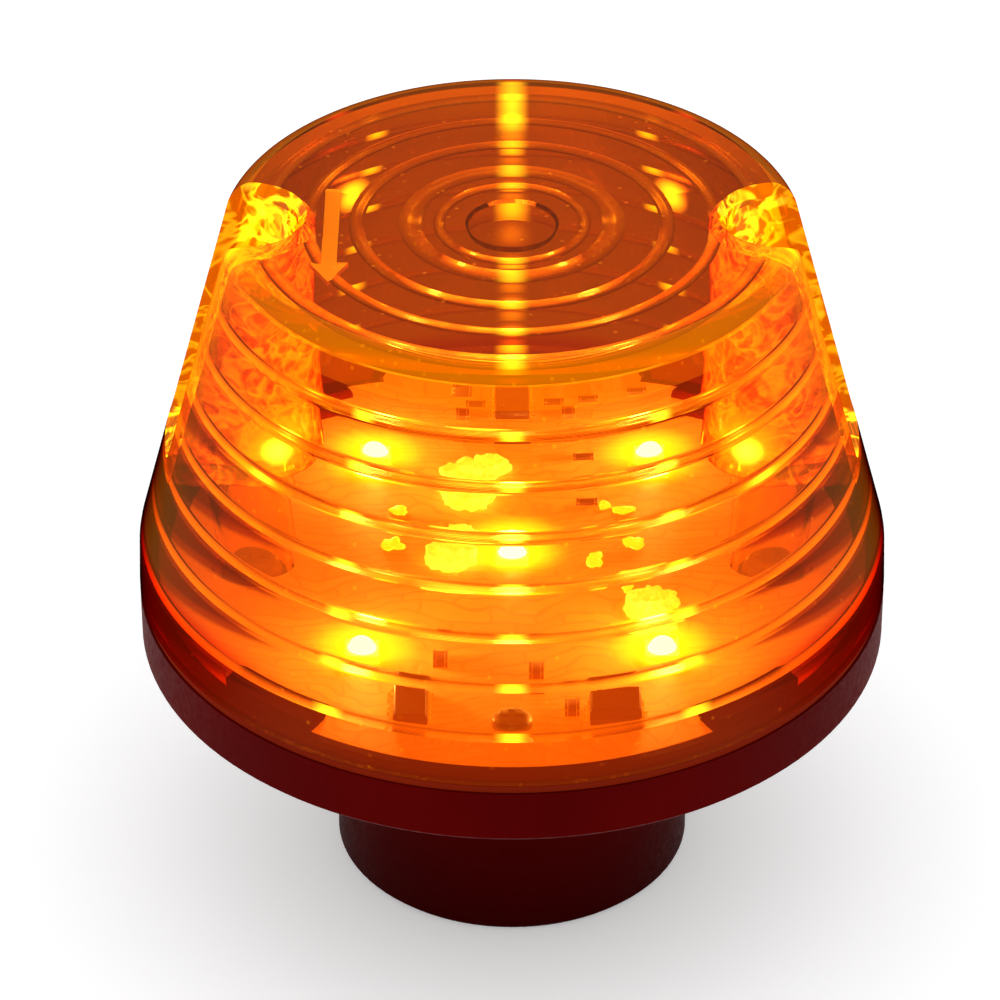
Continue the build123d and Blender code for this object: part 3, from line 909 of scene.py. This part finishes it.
def make_solder_dabs():
    """Irregular dabs of solder on the board's pads."""
    bm = bmesh.new()
    for number, (x, y, half_x, half_y) in enumerate(SOLDER_DABS):
        rings = []
        for share, height in DAB_RINGS:
            ring = []
            for k in range(DAB_STEPS):
                turn = 2 * math.pi * k / DAB_STEPS
                way = Vector((math.cos(turn), math.sin(turn), number * 3.1))
                reach = share * (0.82 + 0.5 * noise.noise(way * 1.3) + 0.16 * noise.noise(way * 3.7))
                corner = (x + half_x * reach * way.x, y + half_y * reach * way.y, BOARD_TOP + height)
                ring.append(bm.verts.new(corner))
            rings.append(ring)
        for near, far in zip(rings, rings[1:]):
            for k in range(DAB_STEPS):
                n = (k + 1) % DAB_STEPS
                bm.faces.new((near[k], near[n], far[n], far[k]))
        bm.faces.new(rings[-1])
        bm.faces.new(list(reversed(rings[0])))
    return show(from_bmesh("solder_dabs", bm, SOLDER), "base", "screw_steel")


def block(bm, low, high, bevel, material=0):
    """A box with bevelled edges, from its lowest to its highest corner."""
    made = bmesh.ops.create_cube(bm, size=1.0)["verts"]
    size = high - low
    bmesh.ops.scale(bm, vec=size, verts=made)
    bmesh.ops.translate(bm, vec=(low + high) / 2, verts=made)
    edges = list({edge for vert in made for edge in vert.link_edges})
    faces = {face for vert in made for face in vert.link_faces}
    bevelled = bmesh.ops.bevel(bm, geom=edges, offset=bevel, segments=2, profile=0.5, affect="EDGES")
    faces.update(bevelled["faces"])
    for face in faces:
        if face.is_valid:
            face.material_index = material


def lead(bm, body_side, way, y, half_width, rise):
    """A bent lead: out of the package's side, down, and flat on its pad."""
    reach, thick = LEAD_REACH, LEAD_THICKNESS
    outline = [(-0.1, rise), (0.38 * reach, rise), (0.55 * reach, thick), (reach, thick), (reach, 0.0),
               (0.42 * reach, 0.0), (0.25 * reach, rise - thick), (-0.1, rise - thick)]
    ends = [[bm.verts.new((body_side + way * out, y + side * half_width, BOARD_TOP + z))
             for out, z in outline] for side in (-1, 1)]
    for k in range(len(outline)):
        n = (k + 1) % len(outline)
        bm.faces.new((ends[0][k], ends[0][n], ends[1][n], ends[1][k])).material_index = 1
    for end in ends:
        bm.faces.new(end).material_index = 1


def make_package(name, rows, pitch, half_width):
    """A moulded package: a tapered body with a parting line, a dimple, and bent leads on two sides."""
    low, high = low_mm(name), high_mm(name)
    middle = (low + high) / 2
    half_x, half_y = high.x - middle.x - LEAD_REACH, high.y - middle.y
    bm = bmesh.new()
    waist = low.z + 0.45 * (high.z - low.z)
    inset_at = {low.z + 0.06: 0.1, waist - 0.03: 0.02, waist: 0.0, waist + 0.03: 0.02,
                high.z - PACKAGE_BEVEL: 0.1, high.z: 0.1 + PACKAGE_BEVEL}
    prism(bm, lambda z: [(middle.x + sx * (half_x - inset_at[z]), middle.y + sy * (half_y - inset_at[z]))
                         for sx, sy in ((-1, -1), (1, -1), (1, 1), (-1, 1))], sorted(inset_at))
    for row in range(rows):
        y = middle.y + (row - (rows - 1) / 2) * pitch
        for way in (-1, 1):
            lead(bm, middle.x + way * half_x, way, y, half_width, waist - low.z + LEAD_THICKNESS / 2)
    package = from_bmesh(f"{name}_package", bm, EPOXY, TIN)
    dimple = bmesh.new()
    lathe(dimple, [(0, high.z - 0.08), (0.3, high.z - 0.08), (0.38, high.z + 0.3), (0, high.z + 0.3)], 24,
          (middle.x - half_x + 0.85, middle.y + half_y - 0.85))
    boolean(package, "DIFFERENCE", from_bmesh("dimple_tool", dimple, EPOXY))
    return show(package, "base", "chip_epoxy", name)


def chip_boxes(name):
    """The lowest and highest corner of each chip part in a CAD node, in millimetres."""
    bm = bmesh.new()
    bm.from_mesh(nodes[name].data)
    bmesh.ops.remove_doubles(bm, verts=bm.verts, dist=1e-7)
    waiting, boxes = set(bm.verts), []
    while waiting:
        group, front = set(), [min(waiting, key=lambda vert: tuple(vert.co))]
        while front:
            vert = front.pop()
            if vert not in group:
                group.add(vert)
                front += [edge.other_vert(vert) for edge in vert.link_edges]
        waiting -= group
        boxes.append(tuple(Vector([pick(vert.co[axis] for vert in group) / MM for axis in range(3)])
                           for pick in (min, max)))
    bm.free()
    return boxes


def make_chips(name, body, slot_name):
    """Chip parts: a ceramic body between two tinned end caps."""
    bm = bmesh.new()
    for low, high in chip_boxes(name):
        inner = Vector((0.3, 0.05, 0.0))
        block(bm, low + inner, high - inner - Vector((0, 0, 0.05)), 0.05)
        for start in (low.x, high.x - CAP_LENGTH):
            block(bm, Vector((start, low.y, low.z)), Vector((start + CAP_LENGTH, high.y, high.z)), 0.06, 1)
    return show(from_bmesh(f"{name}_on_board", bm, body, TIN), "base", slot_name, name)


def make_screw(name, head_height, recess_reach, recess_depth):
    """A pan-head screw with a cross recess and a threaded shank."""
    low, high = low_mm(name), high_mm(name)
    middle = (low + high) / 2
    head_radius, seat = high.x - middle.x, high.z - head_height
    shank_radius = SHANK_RADII[name]
    root_radius = shank_radius * THREAD_ROOT
    profile = [(0, low.z), (shank_radius * 0.6, low.z), (shank_radius * 0.8, low.z + SCREW_TIP)]
    for k in range(int((seat - 0.6 - low.z - SCREW_TIP) / THREAD_PITCH)):
        foot = low.z + SCREW_TIP + k * THREAD_PITCH
        profile += [(root_radius, foot + 0.1 * THREAD_PITCH), (shank_radius, foot + 0.5 * THREAD_PITCH)]
    profile += [(root_radius, seat - 0.4), (root_radius, seat), (head_radius - 0.08, seat),
                (head_radius, seat + 0.1), (head_radius, seat + 0.35 * head_height)]
    for share, height in HEAD_CURVE:
        profile.append((head_radius * share, seat + height * head_height))
    bm = bmesh.new()
    lathe(bm, profile + [(0, high.z)], 64, (middle.x, middle.y))
    screw = from_bmesh(f"{name}_cross_head", bm, STEEL)
    for turn in (0.0, math.pi / 2):
        slot_bm = bmesh.new()
        half_width = 0.16 * head_radius
        across = Vector((math.cos(turn), math.sin(turn), 0.0))
        beside = Vector((-across.y, across.x, 0.0))
        prism(slot_bm, lambda z: [
            tuple(middle + across * along * (recess_reach if z > high.z - 0.1 else 0.55 * recess_reach)
                  + beside * side * half_width)[:2]
            for along, side in ((-1, -1), (1, -1), (1, 1), (-1, 1))
        ], (high.z - recess_depth, high.z, high.z + 0.5))
        boolean(screw, "DIFFERENCE", from_bmesh("recess_tool", slot_bm, STEEL))
    return screw


assign(BASE_PLASTIC, "base_housing")
assign(SEAL_RUBBER, "lens_seal", "cable_grommet")
assign(BOARD, "circuit_board")
assign(BRASS, "screw_insert_left", "screw_insert_right")
assign(LED_CERAMIC, *[f"led_housing_{n}" for n in LED_NUMBERS])
make_lens()
for led_number in LED_NUMBERS:
    make_led_dome(led_number)
for sealant_number in SEALANT_NUMBERS:
    make_sealant(sealant_number)
make_solder_dabs()
make_package("flash_controller", CONTROLLER_LEADS, LEAD_PITCH, 0.22)
for package_name in ("power_diode", "driver_transistor", "voltage_regulator"):
    make_package(package_name, 2, 1.3, 0.45)
make_chips("chip_resistors", EPOXY, "resistor_film")
make_chips("chip_capacitors", CERAMIC, "capacitor_ceramic")
for side_name in SIDES:
    lens_screw = make_screw(f"lens_screw_{side_name}", LENS_SCREW_HEAD, 1.7, 1.1)
    show(lens_screw, f"{side_name}_lens_screw", "screw_steel", f"lens_screw_{side_name}")
show(make_screw("board_screw", 1.3, 1.25, 0.8), "base", "screw_steel", "board_screw")


# Floor, world and camera

FLOOR_LIFT = 0.24


def floor_white():
    """White floor, a little brighter to the camera and in glass, so that it stays white round the lamp."""
    made, tree, shader = new_material("floor_white", (0.95, 0.95, 0.95), Roughness=0.9,
                                      Specular_IOR_Level=0.0, Emission_Color=(1.0, 1.0, 1.0))
    rays = add_node(tree, "ShaderNodeLightPath")
    seen = rays.outputs["Is Camera Ray"]
    for kind in ("Is Glossy Ray", "Is Transmission Ray"):
        seen = math_node(tree, "MAXIMUM", seen, rays.outputs[kind])
    tree.links.new(product(tree, seen, FLOOR_LIFT), shader.inputs["Emission Strength"])
    return made


floor_bm = bmesh.new()
bmesh.ops.create_grid(floor_bm, x_segments=1, y_segments=1, size=3000.0)
bmesh.ops.translate(floor_bm, vec=(0, 0, NECK_FOOT), verts=floor_bm.verts)
from_bmesh("floor", floor_bm, floor_white())

world = bpy.data.worlds.new("studio")
bpy.context.scene.world = world
world.use_nodes = True
world.node_tree.nodes["Background"].inputs["Color"].default_value = (1, 1, 1, 1)
world.node_tree.nodes["Background"].inputs["Strength"].default_value = 1.0

camera_data = bpy.data.cameras.new("camera")
camera_data.lens = CAMERA_LENS
camera_data.shift_x, camera_data.shift_y = CAMERA_SHIFT
camera = bpy.data.objects.new("camera", camera_data)
camera.location = CAMERA_PLACE
camera.rotation_euler = (math.pi / 2 - CAMERA_PITCH, 0, 0)
bpy.context.scene.collection.objects.link(camera)
bpy.context.scene.camera = camera
bpy.context.scene.view_settings.view_transform = "Standard"
